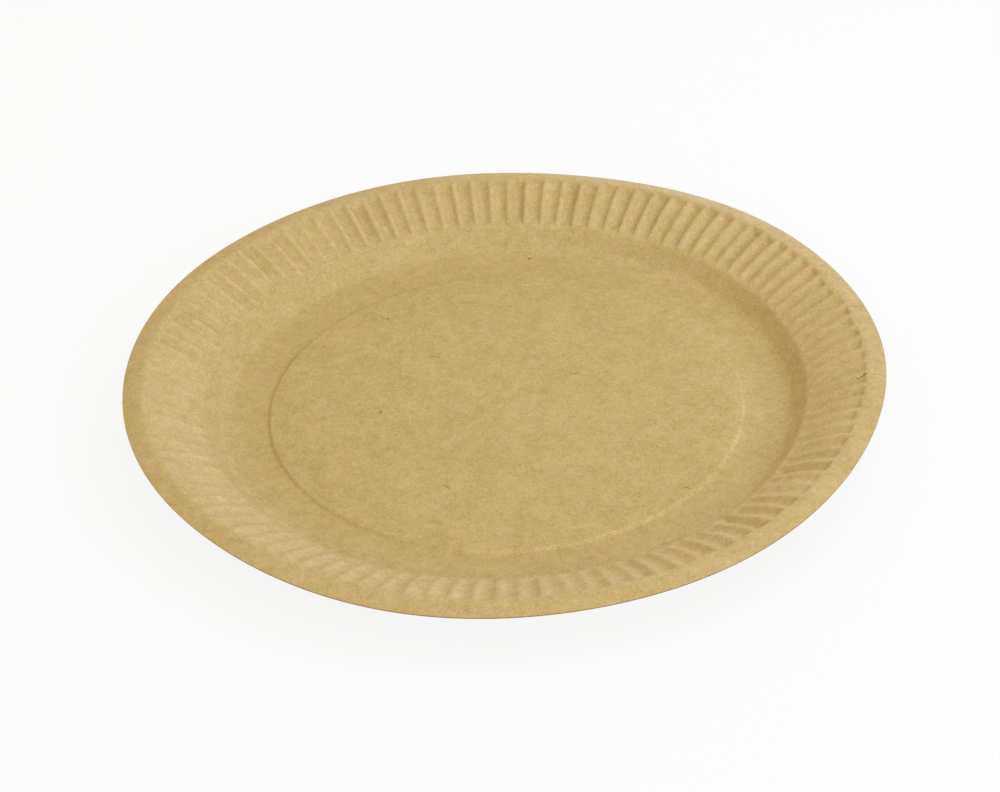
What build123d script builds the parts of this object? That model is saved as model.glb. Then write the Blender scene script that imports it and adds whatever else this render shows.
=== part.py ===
"""Paper plate pressed from one sheet of kraft board, with a fluted rim. Millimetres, +Z up.

The origin is the plate's middle at the height of the table. The sheet is flat in the middle, steps
down to the ring that it stands on, turns up into a smooth steep wall, leans back into the fluted
band and ends in a plain lip that curls slightly down.

The press gathers the rim into one flute after another, so the plate is built as equal slices with
one groove each. A slice is straight across, which is within 0.05 mm of a true circle at the rim.
"""

from build123d import *

import os
from math import asin, cos, degrees, radians, sin, tan

# The sheet
board = 0.5

# Widths seen from above, on the upper face, from the cut edge inwards
plate_diameter = 230.0
lip_width = 5.1
band_width = 18.7
wall_width = 4.9
standing_ring_width = 12.8
step_width = 2.4

# Heights on the upper face, from the standing ring upwards
step_rise = 1.0
wall_rise = 6.6
band_rise = 9.3
lip_drop = 1.5

# Bends of the upper face: the radius of each, and how many flats it is drawn with
foot_bend = 4.5
foot_flat_count = 3
shoulder_bend = 3.0
shoulder_flat_count = 2
crest_bend = 2.5
crest_flat_count = 2

# Flutes: the groove in each slice, sized at the band's outer end, with a ridge left on both sides
flute_count = 108
groove_depth = 0.85
groove_share = 0.9
groove_flat_count = 6
groove_margin = 0.3
groove_end_slope = 45.0

# Radii and heights of the corners of the upper face, and half the angle that a slice takes up
rim_radius = plate_diameter / 2
crest_radius = rim_radius - lip_width
shoulder_radius = crest_radius - band_width
foot_radius = shoulder_radius - wall_width
ring_radius = foot_radius - standing_ring_width
disc_radius = ring_radius - step_width
shoulder_height = board + wall_rise
crest_height = shoulder_height + band_rise
half_pitch = 180 / flute_count


def bend(before, corner, after, radius, flats):
    """Points that round a corner of the section with an arc, drawn as a few equal flats."""
    line = FilletPolyline(before, corner, after, radius=radius)
    arc = line.edges().filter_by(GeomType.CIRCLE)[0]
    points = [arc @ (step / flats) for step in range(flats + 1)]
    return sorted(points, key=lambda point: point.X)


def upper_face():
    """The upper face's half section, from the axis to the cut edge."""
    ring = (ring_radius, board)
    foot = (foot_radius, board)
    shoulder = (shoulder_radius, shoulder_height)
    crest = (crest_radius, crest_height)
    rim = (rim_radius, crest_height - lip_drop)
    return [
        Vector(0, board + step_rise),
        Vector(disc_radius, board + step_rise),
        Vector(*ring),
        *bend(ring, foot, shoulder, foot_bend, foot_flat_count),
        *bend(foot, shoulder, crest, shoulder_bend, shoulder_flat_count),
        *bend(shoulder, crest, rim, crest_bend, crest_flat_count),
        Vector(*rim),
    ]


def straight_band():
    """The two points of the upper face between which the fluted band runs straight."""
    face = upper_face()
    rim_and_crest = 1 + crest_flat_count + 1
    return face[-rim_and_crest - 1], face[-rim_and_crest]


def sunk(face, depth):
    """The half section that lies at a depth below the face, measured square to it."""
    normals = [(b - a).normalized().rotate(Axis.Z, 90) for a, b in zip(face, face[1:])]
    before = [normals[0], *normals]
    after = [*normals, normals[-1]]
    return [p - (m + n) * (depth / (1 + m.dot(n))) for p, m, n in zip(face, before, after)]


def slice_between(upper, lower):
    """One slice of what lies between two half sections, as wide as a flute's pitch."""
    outline = make_face(Polyline(*upper, *reversed(lower), close=True))
    reach = 2 * rim_radius
    side = reach * tan(radians(half_pitch))
    wedge = make_face(Polyline((0, 0), (reach, -side), (reach, side), close=True))
    return extrude(Plane.XZ * outline, side, both=True) & extrude(wedge, reach, both=True)


def flat_sided(first, second):
    """The solid with flat sides between two outlines that have as many corners."""
    edges = list(zip(first, second))
    rims = [first, second]
    for (a, b), (d, c) in zip(edges, edges[1:] + edges[:1]):
        rims.append([a, b, c, d])
    return Solid(Shell([Face(Wire.make_polygon(rim)) for rim in rims]))


def pressing_bar(grow):
    """The bar that presses one groove, made larger by grow all round.

    Its underside is an arc, drawn with flats, and its ends slant. It gets narrower and shallower
    towards the middle of the plate, as the slice does.
    """
    start, end = straight_band()
    run = (end - start).length
    along = (end - start) / run
    band = Plane((start.X, 0, start.Y), x_dir=(along.X, 0, along.Y), z_dir=(0, -1, 0))
    half_width = groove_share * end.X * tan(radians(half_pitch))
    radius = (half_width**2 + groove_depth**2) / (2 * groove_depth)
    opening = degrees(asin(half_width / radius))

    def outline(place):
        """The bar's cross-section at a distance along the band."""
        size = (start + along * place).X / end.X
        axis_height = (radius - groove_depth) * size
        reach = radius * size + grow
        angles = [opening * (2 * flat / groove_flat_count - 1) for flat in range(groove_flat_count + 1)]
        under = [(axis_height - reach * cos(radians(a)), reach * sin(radians(a))) for a in angles]
        if grow == 0:
            under = [(radius, under[0][1]), *under, (radius, under[-1][1])]
        return [band.from_local_coords(Vector(place, height, across)) for height, across in under]

    slant = 1 / tan(radians(groove_end_slope))
    outset = grow / sin(radians(groove_end_slope))
    first = groove_margin - outset
    last = run - groove_margin + outset
    spare = radius * slant
    side_view = Polyline(
        (first - spare, radius),
        (first + spare, -radius),
        (last - spare, -radius),
        (last + spare, radius),
        close=True,
    )
    bar = flat_sided(outline(first - spare), outline(last + spare))
    return bar & extrude(band * make_face(side_view), radius, both=True)


def fluted_slice():
    """One slice of the plate, with its groove pressed in above and standing out as a rib below."""
    face = upper_face()
    underside = sunk(face, board)
    table = [Vector(0, -board), Vector(rim_radius, -board)]
    sheet = slice_between(face, underside)
    rib = pressing_bar(board) & slice_between(sunk(face, board / 2), table)
    return sheet + rib - pressing_bar(0)


def joined_all_round(piece):
    """The slices put together: their outer faces, turned once for each flute and sewn up.

    The two cut sides of a slice face nearly along Y, and are left out.
    """
    nearly_along_y = cos(radians(2 * half_pitch))
    skin = [face for face in piece.faces() if abs(face.normal_at().Y) < nearly_along_y]
    turns = PolarLocations(0, flute_count)
    return Solid(Shell([turn * face for turn in turns for face in skin])).clean()


os.makedirs("parts", exist_ok=True)
export_step(joined_all_round(fluted_slice()), "parts/plate.step")
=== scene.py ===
import math
import random

import bmesh
import bpy
from mathutils import Matrix, Vector


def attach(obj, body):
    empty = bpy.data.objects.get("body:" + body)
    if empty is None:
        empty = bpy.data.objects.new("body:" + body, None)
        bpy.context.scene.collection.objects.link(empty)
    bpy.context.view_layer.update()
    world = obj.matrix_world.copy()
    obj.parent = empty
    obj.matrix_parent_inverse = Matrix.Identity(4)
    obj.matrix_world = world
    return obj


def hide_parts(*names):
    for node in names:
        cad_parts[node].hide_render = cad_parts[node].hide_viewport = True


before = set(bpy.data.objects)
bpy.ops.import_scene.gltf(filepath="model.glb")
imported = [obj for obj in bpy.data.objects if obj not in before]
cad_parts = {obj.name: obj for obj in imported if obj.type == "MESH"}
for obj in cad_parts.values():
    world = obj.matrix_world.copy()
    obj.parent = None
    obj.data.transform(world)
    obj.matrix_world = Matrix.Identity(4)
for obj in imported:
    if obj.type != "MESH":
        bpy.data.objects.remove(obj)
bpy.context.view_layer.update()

# The plate. It starts as one round blank of brown kraft board, half a millimetre thick, and two
# heated dies press it to shape: a flat middle, a step down to the ring that it stands on, a steep
# smooth wall, a fluted band that takes up the spare board, and a plain lip that curls down.
board = 0.5
rim_radius = 115.0
wall_top = Vector((91.2, 7.1))
lip_bend = Vector((109.3, 16.2))
flutes = 108

# The upper face's half section in millimetres: radius, height and rounding of each corner. These
# are the middle, the step, the ring and the wall.
section = [
    (0.0, 1.36, 0.0),
    (20.0, 1.36, 0.0),
    (40.0, 1.36, 0.0),
    (56.0, 1.36, 0.0),
    (66.0, 1.35, 0.0),
    (69.5, 1.33, 0.0),
    (71.6, 1.29, 0.9),
    (72.6, 0.6, 0.9),
    (74.5, 0.57, 0.0),
    (76.7, 0.52, 0.0),
    (79.0, 0.5, 0.0),
    (81.0, 0.54, 0.0),
    (83.0, 0.66, 0.0),
    (86.5, 0.95, 4.5),
    (*wall_top, 3.0),
]

# The fluted band runs from the wall's top to the lip's bend, and swells a little in between. Its
# rows, as distances from the wall's top, lie close together where the grooves end. The lip follows.
swell = 0.75
band_rows = (1.1, 1.7, 2.4, 3.2, 4.4, 6.4, 9.4, 12.4, 14.9, 16.4, 17.3, 17.9)
band_length = (lip_bend - wall_top).length
band_along = (lip_bend - wall_top).normalized()
band_square = Vector((-band_along.y, band_along.x))
for place in band_rows:
    share = place / band_length
    row = wall_top + band_along * place + band_square * swell * 4 * share * (1 - share)
    section.append((row.x, row.y, 0.0))
section += [(*lip_bend, 6.0), (112.6, 15.5, 0.0), (rim_radius, 14.9, 0.0)]

# The half section is turned round the axis in columns, three to a flute.
bend_rows = 5
columns = 3 * flutes
blank = bmesh.new()
wire = [blank.verts.new((radius, 0, height)) for radius, height, bend in section]
for inner, outer in zip(wire, wire[1:]):
    blank.edges.new((inner, outer))
for corner, before, here, after in zip(wire[1:], section, section[1:], section[2:]):
    bend = here[2]
    if bend:
        way_in = Vector(here[:2]) - Vector(before[:2])
        way_out = Vector(after[:2]) - Vector(here[:2])
        reach = bend * math.tan(way_in.angle(way_out) / 2)
        bmesh.ops.bevel(
            blank, geom=[corner], offset=reach, offset_type="OFFSET", segments=bend_rows,
            profile=0.5, affect="VERTICES", material=-1,
        )
bmesh.ops.spin(
    blank, geom=blank.verts[:] + blank.edges[:], cent=(0, 0, 0), axis=(0, 0, 1), dvec=(0, 0, 0),
    angle=math.tau, steps=columns, use_merge=True,
)
bmesh.ops.remove_doubles(blank, verts=blank.verts, dist=0.0001)


def radius_of(vert):
    """How far a point is from the plate's axis."""
    return math.hypot(vert.co.x, vert.co.y)


def smooth(value):
    """Ease a value from 0 to 1."""
    value = min(max(value, 0.0), 1.0)
    return value * value * (3 - 2 * value)


def towards(turn, side, gain, start):
    """How much a direction faces one side of the plate, from 0 to 1."""
    return smooth(gain * math.cos(turn - side) - start)


# The inner die came down a little off the middle and out of level. The step isn't quite centred. On
# the right it is drawn out into a soft slope. The step towards the front right, and that slope, are
# painted paler: painted highlights where they face the lamps.
die_radius, die_reach = 72.2, 11.5
die_oval, die_shift = 0.35, 1.3
slope_foot, slope_width, slope_end, slope_height = 76.0, 6.0, 79.5, 0.85
step_radius, step_half_width = 72.1, 0.6
step_highlight_gain, slope_highlight_gain = 0.16, 0.06
rub_and_painted_light = blank.verts.layers.float.new("rub_and_painted_light")
for vert in blank.verts:
    radius = radius_of(vert)
    near = smooth(1 - abs(radius - die_radius) / die_reach)
    if near:
        turn = math.atan2(vert.co.y, vert.co.x)
        drawn_out = towards(turn, side=0.2, gain=2.6, start=1.6) if radius < slope_end else 0.0
        slope = board + slope_height * smooth((slope_foot - radius) / slope_width)
        vert.co.z += (slope - vert.co.z) * drawn_out
        moved = die_oval * (math.cos(2 * turn) - 1) - die_shift * math.sin(turn)
        pushed = 1 + moved * near / radius
        vert.co.x *= pushed
        vert.co.y *= pushed
        # Painted highlight: the step towards the front right and the right's slope are painted
        # paler, where they face the lamps.
        on_the_step = smooth(1.6 - abs(radius - step_radius) / step_half_width)
        front_right = towards(turn, side=-0.9, gain=1.5, start=0.3)
        painted_step_highlight = step_highlight_gain * on_the_step * front_right
        vert[rub_and_painted_light] = painted_step_highlight + slope_highlight_gain * drawn_out * near

# From the foot of the wall outwards the blank gets four times as many columns, twelve to a flute.
fine_radius = 84.0
around = []
for edge in blank.edges:
    first, second = (radius_of(vert) for vert in edge.verts)
    if min(first, second) > fine_radius and abs(first - second) < 0.001:
        around.append(edge)
bmesh.ops.subdivide_edges(blank, edges=around, cuts=3, use_grid_fill=True)


def wavy(waves, turn):
    """A sum of waves round the plate, each with its number and its cosine and sine parts."""
    return sum(c * math.cos(n * turn) + s * math.sin(n * turn) for n, c, s in waves)


def soft_least(first, second, blend):
    """The smaller of two depths, rounded over where they are nearly the same."""
    mix = min(max(0.5 + 0.5 * (second - first) / blend, 0.0), 1.0)
    return second + (first - second) * mix - blend * mix * (1 - mix)


# The dies press one groove after another into the band and leave a ridge in between. The band is
# rubbed paler, and each groove is painted darker by its depth: painted shade down in the grooves.
# They don't close evenly, so the grooves are deepest at the back, and on the right they are deeper
# at their outer ends. No two came out alike: each has its own depth, ends and lean.
pitch = math.tau / flutes
groove_half = 0.4
groove_depth = [
    (0, 0.98, 0.0),
    (1, 0.08, 0.38),
    (2, -0.24, -0.13),
    (3, -0.1, -0.05),
    (4, -0.03, -0.06),
]
press = random.Random(108)
grooves = []
for flute in range(flutes):
    grooves.append({
        "depth": wavy(groove_depth, flute * pitch) * min(max(press.gauss(1.0, 0.18), 0.6), 1.35),
        "start": 0.5 + abs(press.gauss(0.0, 0.35)),
        "end": 19.9 - abs(press.gauss(0.0, 0.4)),
        "lean_in": press.gauss(0.0, 0.035),
        "lean_out": press.gauss(0.0, 0.02),
    })

# A groove's bottom is an arc from ridge to ridge. Its ends slope up and round off into the band, the
# outer end more steeply. The band's paler rub fades out past both ends, and the painted shade in a
# groove follows its depth.
crowding, crowding_run, lean_run = 0.5, 4.0, 20.0
inner_slope, inner_blend = 0.45, 0.25
outer_slope, outer_blend = 0.85, 0.3
outer_from, outer_run, outer_gain = 15.5, 2.5, 0.45
band_end, band_fade = 20.5, 3.0
rubbed_band, groove_shade = 0.07, 0.055
for vert in blank.verts:
    radius = radius_of(vert)
    if radius < fine_radius:
        continue
    turn = math.atan2(vert.co.y, vert.co.x)
    flute = round(turn / pitch)
    across = turn / pitch - flute
    # The columns crowd towards the ridges, where the board bends most sharply.
    crowd = min((radius - fine_radius) / crowding_run, 1.0) * crowding
    across += crowd * math.sin(math.tau * across) / math.tau
    groove = grooves[flute % flutes]
    place = (Vector((radius, vert.co.z)) - wall_top).dot(band_along)
    lean = groove["lean_in"] + (groove["lean_out"] - groove["lean_in"]) * place / lean_run
    off_centre = (across - lean * (1 - abs(2 * across))) / groove_half
    on_the_right = towards(turn, side=0.1, gain=1.8, start=0.8)
    outer_end = smooth((place - outer_from) / outer_run) * on_the_right
    deepest = groove["depth"] * radius / lip_bend.x * (1 + outer_gain * outer_end)
    depth = deepest * (1 - off_centre**2)
    depth = soft_least(depth, (place - groove["start"]) * inner_slope, inner_blend)
    depth = soft_least(depth, (groove["end"] - place) * outer_slope, outer_blend)
    depth = max(depth, 0.0) if abs(off_centre) < 1 else 0.0
    in_the_band = smooth(place / band_fade) * smooth((band_end - place) / band_fade)
    # Painted shade: each groove is painted darker by its depth, beside the band's paler rub.
    vert[rub_and_painted_light] = rubbed_band * in_the_band - groove_shade * depth
    turn = (flute + across) * pitch
    inward = -band_square.x * depth
    vert.co.z -= band_square.y * depth
    vert.co.x = math.cos(turn) * (radius + inward)
    vert.co.y = math.sin(turn) * (radius + inward)

# Once out of the dies the rim springs a little out of true. It stands highest at the sides and
# lowest at the front, and its outline isn't quite round.
view_turn = math.radians(0.95)
up_and_down = [(2, 1.691, -0.538), (3, 0.271, -0.55)]
in_and_out = [
    (0, -0.17, 0.0),
    (1, -0.14, -0.24),
    (2, -0.31, -0.11),
    (3, -0.24, -0.12),
    (4, -0.34, -0.08),
    (5, -0.18, -0.05),
    (6, 0.1, -0.06),
    (7, 0.2, -0.09),
]
for vert in blank.verts:
    radius = radius_of(vert)
    if radius > fine_radius:
        turn = math.atan2(vert.co.y, vert.co.x) - view_turn
        share = (radius - fine_radius) / (rim_radius - fine_radius)
        outwards = 1 + wavy(in_and_out, turn) * share / radius
        vert.co.x *= outwards
        vert.co.y *= outwards
        vert.co.z += wavy(up_and_down, turn) * share

bmesh.ops.recalc_face_normals(blank, faces=blank.faces)
if sum(face.normal.z for face in blank.faces) < 0:
    bmesh.ops.reverse_faces(blank, faces=blank.faces)
bmesh.ops.solidify(blank, geom=blank.faces[:], thickness=board)

# The blank was punched out of the sheet, so its edge is a plain cut. Its faces get a darker brown
# finish of their own.
cut_margin = 2.2
steepest_face = 0.6
for face in blank.faces:
    near_the_cut = all(radius_of(vert) > rim_radius - cut_margin for vert in face.verts)
    face.smooth = True
    if near_the_cut and abs(face.normal.z) < steepest_face:
        face.material_index = 1
for edge in blank.edges:
    if len({face.material_index for face in edge.link_faces}) > 1:
        edge.smooth = False
bmesh.ops.scale(blank, vec=(0.001, 0.001, 0.001), verts=blank.verts)

plate_mesh = bpy.data.meshes.new("pressed_plate")
blank.to_mesh(plate_mesh)
blank.free()
plate = bpy.data.objects.new("pressed_plate", plate_mesh)
bpy.context.scene.collection.objects.link(plate)
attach(plate, "root")
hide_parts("plate")


# The board's finish. Kraft board is unbleached wood pulp: a matt sandy brown, clouded and mottled
# by fibres that lie every way, with dark shreds of bark and a few pale strands pressed flat in it.
def wire_in(tree, kind, inputs=None, **settings):
    """Add a node to the tree, with its settings, and set or link its inputs by name or place."""
    added = tree.nodes.new(kind)
    for name, value in settings.items():
        setattr(added, name, value)
    for name, value in (inputs or {}).items():
        if isinstance(value, bpy.types.NodeSocket):
            tree.links.new(value, added.inputs[name])
        else:
            added.inputs[name].default_value = value
    return added


def stretch(tree, value, low, high, to_low, to_high):
    """Map a value from one range to another, and stop at its ends."""
    inputs = {"Value": value, "From Min": low, "From Max": high, "To Min": to_low, "To Max": to_high}
    return wire_in(tree, "ShaderNodeMapRange", inputs).outputs["Result"]


def combine(tree, how, first, second):
    """Work out one number from two, at every place on the surface."""
    return wire_in(tree, "ShaderNodeMath", {0: first, 1: second}, operation=how).outputs[0]


def combine_vectors(tree, how, *inputs):
    """Work out a vector or a number from vectors, and give the node's outputs."""
    return wire_in(tree, "ShaderNodeVectorMath", dict(enumerate(inputs)), operation=how).outputs


def tint(tree, how, share, under, over):
    """Lay one colour over another, by a share that may vary over the surface and pass 0 and 1."""
    inputs = {0: share, 6: under, 7: over}
    kind = {"data_type": "RGBA", "blend_type": how, "clamp_factor": False}
    return wire_in(tree, "ShaderNodeMix", inputs, **kind).outputs[2]


# One strand of the pulp: how near a place is to the line between two points.
strand = bpy.data.node_groups.new("strand", "ShaderNodeTree")
for name in ("Place", "From", "To"):
    strand.interface.new_socket(name, in_out="INPUT", socket_type="NodeSocketVector")
strand.interface.new_socket("Width", in_out="INPUT", socket_type="NodeSocketFloat")
strand.interface.new_socket("Mask", in_out="OUTPUT", socket_type="NodeSocketFloat")
given = wire_in(strand, "NodeGroupInput").outputs
line = combine_vectors(strand, "SUBTRACT", given["To"], given["From"])["Vector"]
off = combine_vectors(strand, "SUBTRACT", given["Place"], given["From"])["Vector"]
reached = combine_vectors(strand, "DOT_PRODUCT", off, line)["Value"]
whole = combine_vectors(strand, "DOT_PRODUCT", line, line)["Value"]
part = wire_in(
    strand, "ShaderNodeMath", {0: reached, 1: whole}, operation="DIVIDE", use_clamp=True
).outputs[0]
nearest = wire_in(strand, "ShaderNodeVectorMath", {0: line, "Scale": part}, operation="SCALE")
gap = combine_vectors(strand, "DISTANCE", off, nearest.outputs["Vector"])["Value"]
mask = stretch(strand, combine(strand, "DIVIDE", gap, given["Width"]), 0.3, 1.0, 1.0, 0.0)
wire_in(strand, "NodeGroupOutput", {"Mask": mask})

# The pulp itself, measured in millimetres from the plate's middle.
pulp = bpy.data.node_groups.new("kraft_pulp", "ShaderNodeTree")
for name, kind in (("Colour", "NodeSocketColor"), ("Grain", "NodeSocketFloat")):
    pulp.interface.new_socket(name, in_out="OUTPUT", socket_type=kind)
spot = wire_in(pulp, "ShaderNodeTexCoord").outputs
millimetres = {"Vector": spot["Object"], "Scale": (1000.0, 1000.0, 1000.0)}
where = wire_in(pulp, "ShaderNodeMapping", millimetres).outputs["Vector"]


def pulp_noise(size, detail, rough, warp=0.0):
    """Noise with blotches of about the given size in millimetres."""
    inputs = {"Vector": where, "Scale": 1 / size, "Detail": detail, "Roughness": rough}
    inputs["Distortion"] = warp
    return wire_in(pulp, "ShaderNodeTexNoise", inputs).outputs["Fac"]


def threads(size, half_width, patches):
    """Thin winding threads, where a noise crosses its middle value, left only in some patches."""
    from_middle = combine(pulp, "SUBTRACT", pulp_noise(size, 1.0, 0.4), 0.5)
    from_middle = combine(pulp, "ABSOLUTE", from_middle, 0.0)
    thread = stretch(pulp, from_middle, 0.4 * half_width, half_width, 1.0, 0.0)
    patch = stretch(pulp, pulp_noise(2.2 * size, 0.0, 0.5), patches, patches + 0.03, 0.0, 1.0)
    return combine(pulp, "MULTIPLY", thread, patch)


def specks(spacing, reach, kept):
    """Small dark shreds, one in some of the cells of an uneven grid."""
    inputs = {"Vector": where, "Scale": 1 / spacing, "Randomness": 1.0}
    cells = wire_in(pulp, "ShaderNodeTexVoronoi", inputs)
    ragged = combine(pulp, "MULTIPLY", pulp_noise(0.5, 1.0, 0.5), 0.5 * reach / spacing)
    away = combine(pulp, "ADD", cells.outputs["Distance"], ragged)
    shred = stretch(pulp, away, 0.9 * reach / spacing, 1.3 * reach / spacing, 1.0, 0.0)
    chance = wire_in(pulp, "ShaderNodeSeparateColor", {0: cells.outputs["Color"]}).outputs[0]
    return combine(pulp, "MULTIPLY", shred, combine(pulp, "LESS_THAN", chance, kept))


def weighed(*parts):
    """The sum of values, each first taken from its middle of 0.5 and multiplied by its weight."""
    total = 0.5
    for value, weight in parts:
        scaled = combine(pulp, "MULTIPLY", combine(pulp, "SUBTRACT", value, 0.5), weight)
        total = combine(pulp, "ADD", total, scaled)
    return total


clouds = pulp_noise(size=12.0, detail=2.0, rough=0.8)
mottle = pulp_noise(size=2.6, detail=2.0, rough=0.9, warp=0.3)
grit = pulp_noise(size=0.5, detail=1.0, rough=0.8)
light_and_dark = weighed((grit, 1.3), (mottle, 0.97), (clouds, 0.48))
for flaw, weight in (
    (threads(size=3.0, half_width=0.008, patches=0.63), -0.3),
    (threads(size=4.0, half_width=0.006, patches=0.64), 0.2),
    (specks(spacing=4.0, reach=0.2, kept=0.3), -0.6),
    (specks(spacing=13.0, reach=0.45, kept=0.2), -0.6),
):
    light_and_dark = combine(pulp, "ADD", light_and_dark, combine(pulp, "MULTIPLY", flaw, weight))

# The strands and shreds that stand out on this plate: both ends, the width, and how much lighter or
# darker than the board.
seen_strands = [
    ((-38.7, 48.3), (-36.7, 46.2), 0.36, -1.1),
    ((-22.9, 25.0), (-20.7, 24.4), 0.34, -0.7),
    ((-38.0, -2.6), (-38.1, -4.3), 0.4, -0.8),
    ((20.0, 12.0), (22.4, 13.1), 0.36, -0.9),
    ((-18.3, -41.2), (-17.0, -43.0), 0.34, -0.8),
    ((51.1, -46.8), (52.6, -47.7), 0.36, -0.7),
    ((8.4, 80.5), (8.5, 80.9), 0.5, -1.3),
    ((5.5, 64.2), (15.0, 63.2), 0.34, 0.4),
    ((104.9, -16.6), (106.6, -16.6), 0.5, -1.0),
    ((108.5, -17.0), (112.4, -17.3), 0.28, -0.6),
    ((107.1, 20.6), (110.9, 20.9), 0.3, -0.8),
    ((98.3, 27.0), (98.8, 27.6), 0.45, -0.9),
]

# They lie in the upper face only. A slow noise shifts places by up to a millimetre, seen from above,
# so that none of the strands is quite straight.
level = wire_in(pulp, "ShaderNodeMapping", {"Vector": where, "Scale": (1.0, 1.0, 0.0)}).outputs[0]
stray = wire_in(pulp, "ShaderNodeTexNoise", {"Vector": where, "Scale": 0.5, "Detail": 0.0})
stray = combine_vectors(pulp, "SUBTRACT", stray.outputs["Color"], (0.5, 0.5, 0.5))[0]
bent = combine_vectors(pulp, "MULTIPLY_ADD", stray, (2.0, 2.0, 0.0), level)[0]
facing = wire_in(pulp, "ShaderNodeSeparateXYZ", {0: spot["Normal"]}).outputs[2]
upper = combine(pulp, "GREATER_THAN", facing, 0.0)
for first, last, width, weight in seen_strands:
    inputs = {"Place": bent, "From": (*first, 0.0), "To": (*last, 0.0), "Width": width}
    lies_here = wire_in(pulp, "ShaderNodeGroup", inputs, node_tree=strand).outputs["Mask"]
    shown = combine(pulp, "MULTIPLY", lies_here, weight)
    light_and_dark = combine(pulp, "ADD", light_and_dark, combine(pulp, "MULTIPLY", shown, upper))

# The pulp's own colour runs from dark to light, with faint clouds of yellow and grey, and of pink
# and green. The fluted rim, which the hot dies work hardest, comes out a little paler and greyer.
dark_kraft, light_kraft = (0.405, 0.273, 0.0905, 1.0), (0.676, 0.469, 0.1795, 1.0)
yellow, grey = (1.0, 1.0, 0.8, 1.0), (1.0, 1.0, 1.2, 1.0)
pink, green = (1.043, 0.982, 1.02, 1.0), (0.957, 1.018, 0.98, 1.0)
worked_rim = (1.04, 1.045, 1.15, 1.0)
colour = tint(pulp, "MIX", light_and_dark, dark_kraft, light_kraft)
for size, one, other in ((6.0, yellow, grey), (7.5, pink, green)):
    hue = tint(pulp, "MIX", pulp_noise(size, 1.0, 0.6), one, other)
    colour = tint(pulp, "MULTIPLY", 1.0, colour, hue)
from_axis = wire_in(pulp, "ShaderNodeVectorMath", {0: level}, operation="LENGTH").outputs["Value"]
worked = stretch(pulp, from_axis, 72.0, 90.0, 0.0, 1.0)
colour = tint(pulp, "MULTIPLY", worked, colour, worked_rim)
grain = weighed((mottle, 0.5), (grit, 0.5))
wire_in(pulp, "NodeGroupOutput", {"Colour": colour, "Grain": grain})


def board_finish(name, wash):
    """Matt kraft board, with a wash of colour over the pulp."""
    finish = bpy.data.materials.new(name)
    finish.use_nodes = True
    tree = finish.node_tree
    shader = tree.nodes["Principled BSDF"]
    fibres = wire_in(tree, "ShaderNodeGroup", node_tree=pulp)
    # The dies rub the board paler on the band. The same attribute paints highlights on the step and
    # on the right's slope, and paints shade down in the grooves.
    paler = wire_in(tree, "ShaderNodeAttribute", attribute_name="rub_and_painted_light").outputs["Fac"]
    rub_and_light = combine(tree, "ADD", paler, 1.0)
    greyer = combine(tree, "MULTIPLY", rub_and_light, rub_and_light)
    rub_and_light = wire_in(tree, "ShaderNodeCombineColor", {0: rub_and_light, 1: rub_and_light, 2: greyer}).outputs[0]
    shown = tint(tree, "MULTIPLY", 1.0, fibres.outputs["Colour"], wash)
    shown = tint(tree, "MULTIPLY", 1.0, shown, rub_and_light)
    tree.links.new(shown, shader.inputs["Base Color"])
    relief = {"Height": fibres.outputs["Grain"], "Strength": 0.25, "Distance": 0.0001}
    bump = wire_in(tree, "ShaderNodeBump", relief)
    tree.links.new(bump.outputs[0], shader.inputs["Normal"])
    rough = stretch(tree, fibres.outputs["Grain"], 0.3, 0.7, 0.72, 0.58)
    tree.links.new(rough, shader.inputs["Roughness"])
    shader.inputs["Specular IOR Level"].default_value = 0.4
    return finish


plate_mesh.materials.append(board_finish("kraft_face", (1.0, 1.0, 1.0, 1.0)))
plate_mesh.materials.append(board_finish("kraft_cut_edge", (0.62, 0.52, 0.46, 1.0)))

# The floor. A wide white sheet of matt board, shown nearly pure white, that keeps the shadow. It
# lies a hair below the plate, so that the two don't share a plane.
floor_half = 6.0
floor_height = -0.00005
shown_white = 0.88
floor_mesh = bpy.data.meshes.new("floor")
sheet = bmesh.new()
bmesh.ops.create_grid(sheet, x_segments=1, y_segments=1, size=floor_half)
bmesh.ops.translate(sheet, vec=(0, 0, floor_height), verts=sheet.verts)
sheet.to_mesh(floor_mesh)
sheet.free()
floor = bpy.data.objects.new("floor", floor_mesh)
bpy.context.scene.collection.objects.link(floor)
white = bpy.data.materials.new("white_floor")
white.use_nodes = True
tree = white.node_tree
tree.nodes.clear()
matt = wire_in(tree, "ShaderNodeBsdfDiffuse", {"Color": (0.8, 0.8, 0.8, 1.0)})
glow = wire_in(tree, "ShaderNodeEmission", {"Color": (1.0, 1.0, 1.0, 1.0), "Strength": 1.0})
rays = wire_in(tree, "ShaderNodeLightPath")
seen = combine(tree, "MULTIPLY", rays.outputs["Is Camera Ray"], shown_white)
blend = wire_in(tree, "ShaderNodeMixShader", {0: seen, 1: matt.outputs[0], 2: glow.outputs[0]})
wire_in(tree, "ShaderNodeOutputMaterial", {0: blend.outputs[0]})
floor_mesh.materials.append(white)

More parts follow.
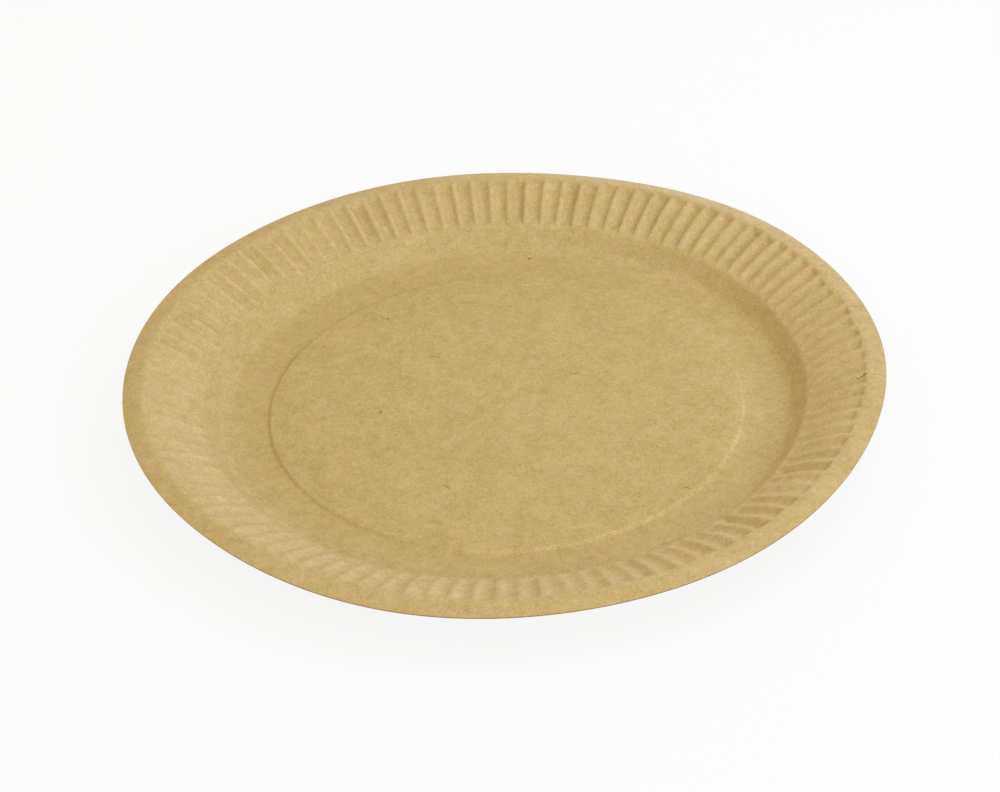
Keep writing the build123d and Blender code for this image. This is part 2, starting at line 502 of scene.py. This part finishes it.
# The light. A bright warm room. Cooler light comes from a small soft window high on the right, from
# the sky low at the front right, and from pale walls at the front and at the back.
scene = bpy.context.scene
room = bpy.data.worlds.new("room")
scene.world = room
room.use_nodes = True
tree = room.node_tree
tree.nodes.clear()
rays = wire_in(tree, "ShaderNodeLightPath")
soft = wire_in(tree, "ShaderNodeBackground", {"Color": (1.0, 0.9, 0.72, 1.0), "Strength": 0.73})
pure = wire_in(tree, "ShaderNodeBackground", {"Color": (1.0, 1.0, 1.0, 1.0), "Strength": 1.0})
pick = {0: rays.outputs["Is Camera Ray"], 1: soft.outputs[0], 2: pure.outputs[0]}
pick = wire_in(tree, "ShaderNodeMixShader", pick)
wire_in(tree, "ShaderNodeOutputWorld", {0: pick.outputs[0]})
cool = (0.6, 0.8, 1.0)


def soft_box(name, azimuth, elevation, away, width, power):
    """A round lamp that looks at the plate from a distance, all in metres, degrees and watts."""
    lamp = bpy.data.lights.new(name, "AREA")
    lamp.shape = "DISK"
    lamp.size = width
    lamp.energy = power
    lamp.color = cool
    holder = bpy.data.objects.new(name, lamp)
    turn, up = math.radians(azimuth), math.radians(elevation)
    way = Vector((math.cos(turn) * math.cos(up), math.sin(turn) * math.cos(up), math.sin(up)))
    holder.location = way * away
    holder.rotation_euler = way.to_track_quat("Z", "Y").to_euler()
    scene.collection.objects.link(holder)


soft_box("window", azimuth=18.0, elevation=59.0, away=0.55, width=0.3, power=0.92)
soft_box("sky", azimuth=-45.0, elevation=25.0, away=1.2, width=0.6, power=3.5)
soft_box("front_wall", azimuth=-80.0, elevation=22.0, away=1.2, width=0.6, power=3.1)
soft_box("back_wall", azimuth=75.0, elevation=10.0, away=1.2, width=0.6, power=3.3)

# The camera looks down on the plate from the front, more than three plate widths away, and is held
# slightly askew.
aim = Vector((-1.666, 1.202, 2.179)) * 0.001
distance = 0.78907
elevation = math.radians(35.597)
roll = math.radians(-2.817)
lens = bpy.data.cameras.new("photo_view")
lens.sensor_width = 36.0
lens.lens = 93.08
lens.clip_start = 0.05
lens.clip_end = 50.0
camera = bpy.data.objects.new("photo_view", lens)
tilt = Matrix.Rotation(math.pi / 2 - elevation, 4, "X") @ Matrix.Rotation(roll, 4, "Z")
back = tilt @ Vector((0, 0, 1))
around_plate = Matrix.Rotation(view_turn, 4, "Z")
camera.matrix_world = around_plate @ Matrix.Translation(aim + back * distance) @ tilt
scene.collection.objects.link(camera)
scene.camera = camera
scene.view_settings.view_transform = "Standard"
